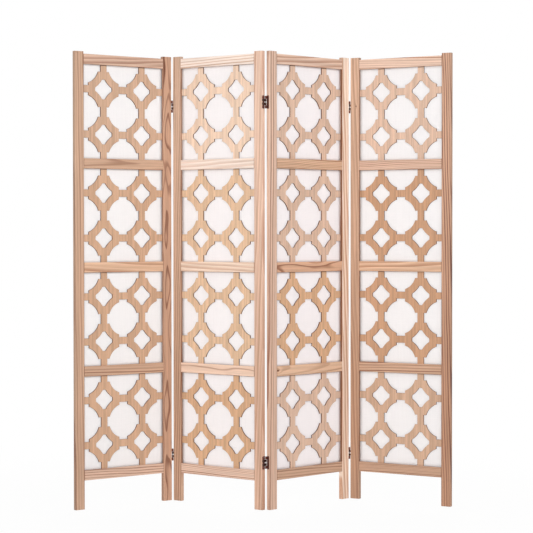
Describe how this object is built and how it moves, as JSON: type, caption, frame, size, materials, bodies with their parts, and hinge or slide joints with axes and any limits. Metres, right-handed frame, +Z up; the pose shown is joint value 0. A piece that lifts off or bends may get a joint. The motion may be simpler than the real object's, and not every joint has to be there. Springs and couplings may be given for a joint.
{
  "type": "folding screen",
  "caption": "Freestanding folding screen: pine leaves joined by two-way hinges, each with fretwork of notched circles and diamonds in front of white cloth.",
  "frame": {"origin": "on the floor, under the centre of the standing screen's box", "axes": "+Z up, the front looks along -Y, the first leaf is at -X"},
  "size_m": [1.495, 0.3412, 1.8],
  "materials": {
    "frame_pine": "natural pine, satin",
    "lattice_wood": "veneered fretwork board, satin",
    "screen_cloth": "white plain weave cloth",
    "hinge_bronze": "dark bronze, half matt",
    "hinge_pin": "dark bronze, worn"
  },
  "bodies": {
    "panel_1": {"panel_1_left_stile": "frame_pine", "panel_1_right_stile": "frame_pine", "panel_1_bottom_rail": "frame_pine", "panel_1_lower_rail": "frame_pine", "panel_1_middle_rail": "frame_pine", "panel_1_upper_rail": "frame_pine", "panel_1_top_rail": "frame_pine", "panel_1_lattice": "lattice_wood", "panel_1_cloth": "screen_cloth", "seam_1_left_plates": "hinge_bronze", "seam_1_front_pins": "hinge_pin"},
    "panel_2": {"panel_2_left_stile": "frame_pine", "panel_2_right_stile": "frame_pine", "panel_2_bottom_rail": "frame_pine", "panel_2_lower_rail": "frame_pine", "panel_2_middle_rail": "frame_pine", "panel_2_upper_rail": "frame_pine", "panel_2_top_rail": "frame_pine", "panel_2_lattice": "lattice_wood", "panel_2_cloth": "screen_cloth", "seam_1_right_plates": "hinge_bronze", "seam_1_rear_pins": "hinge_pin", "seam_2_left_plates": "hinge_bronze", "seam_2_front_pins": "hinge_pin"},
    "panel_3": {"panel_3_left_stile": "frame_pine", "panel_3_right_stile": "frame_pine", "panel_3_bottom_rail": "frame_pine", "panel_3_lower_rail": "frame_pine", "panel_3_middle_rail": "frame_pine", "panel_3_upper_rail": "frame_pine", "panel_3_top_rail": "frame_pine", "panel_3_lattice": "lattice_wood", "panel_3_cloth": "screen_cloth", "seam_2_right_plates": "hinge_bronze", "seam_2_rear_pins": "hinge_pin", "seam_3_left_plates": "hinge_bronze", "seam_3_front_pins": "hinge_pin"},
    "panel_4": {"panel_4_left_stile": "frame_pine", "panel_4_right_stile": "frame_pine", "panel_4_bottom_rail": "frame_pine", "panel_4_lower_rail": "frame_pine", "panel_4_middle_rail": "frame_pine", "panel_4_upper_rail": "frame_pine", "panel_4_top_rail": "frame_pine", "panel_4_lattice": "lattice_wood", "panel_4_cloth": "screen_cloth", "seam_3_right_plates": "hinge_bronze", "seam_3_rear_pins": "hinge_pin"},
    "links_1": {"seam_1_links": "hinge_bronze"},
    "links_2": {"seam_2_links": "hinge_bronze"},
    "links_3": {"seam_3_links": "hinge_bronze"}
  },
  "joints": [
    {"name": "seam_1_rear_fold", "type": "hinge", "parent": "panel_2", "child": "links_1", "pos_m": [-0.3607, 0.1185, 0.9], "axis": [0, 0, -1], "range_deg": [0, 180]},
    {"name": "seam_1_front_fold", "type": "hinge", "parent": "links_1", "child": "panel_1", "pos_m": [-0.37195, 0.10319, 0.9], "axis": [0, 0, -1], "range_deg": [-107.34, 72.66]},
    {"name": "seam_2_front_fold", "type": "hinge", "parent": "panel_2", "child": "links_2", "pos_m": [-0.00369, -0.16742, 0.9], "axis": [0, 0, -1], "range_deg": [0, 180]},
    {"name": "seam_2_rear_fold", "type": "hinge", "parent": "links_2", "child": "panel_3", "pos_m": [0.00756, -0.15211, 0.9], "axis": [0, 0, -1], "range_deg": [-99.78, 80.22]},
    {"name": "seam_3_front_fold", "type": "hinge", "parent": "panel_3", "child": "links_3", "pos_m": [0.34998, 0.15114, 0.9], "axis": [0, 0, 1], "range_deg": [-105.05, 74.95]},
    {"name": "seam_3_rear_fold", "type": "hinge", "parent": "links_3", "child": "panel_4", "pos_m": [0.35977, 0.16742, 0.9], "axis": [0, 0, 1], "range_deg": [0, 180]}
  ]
}
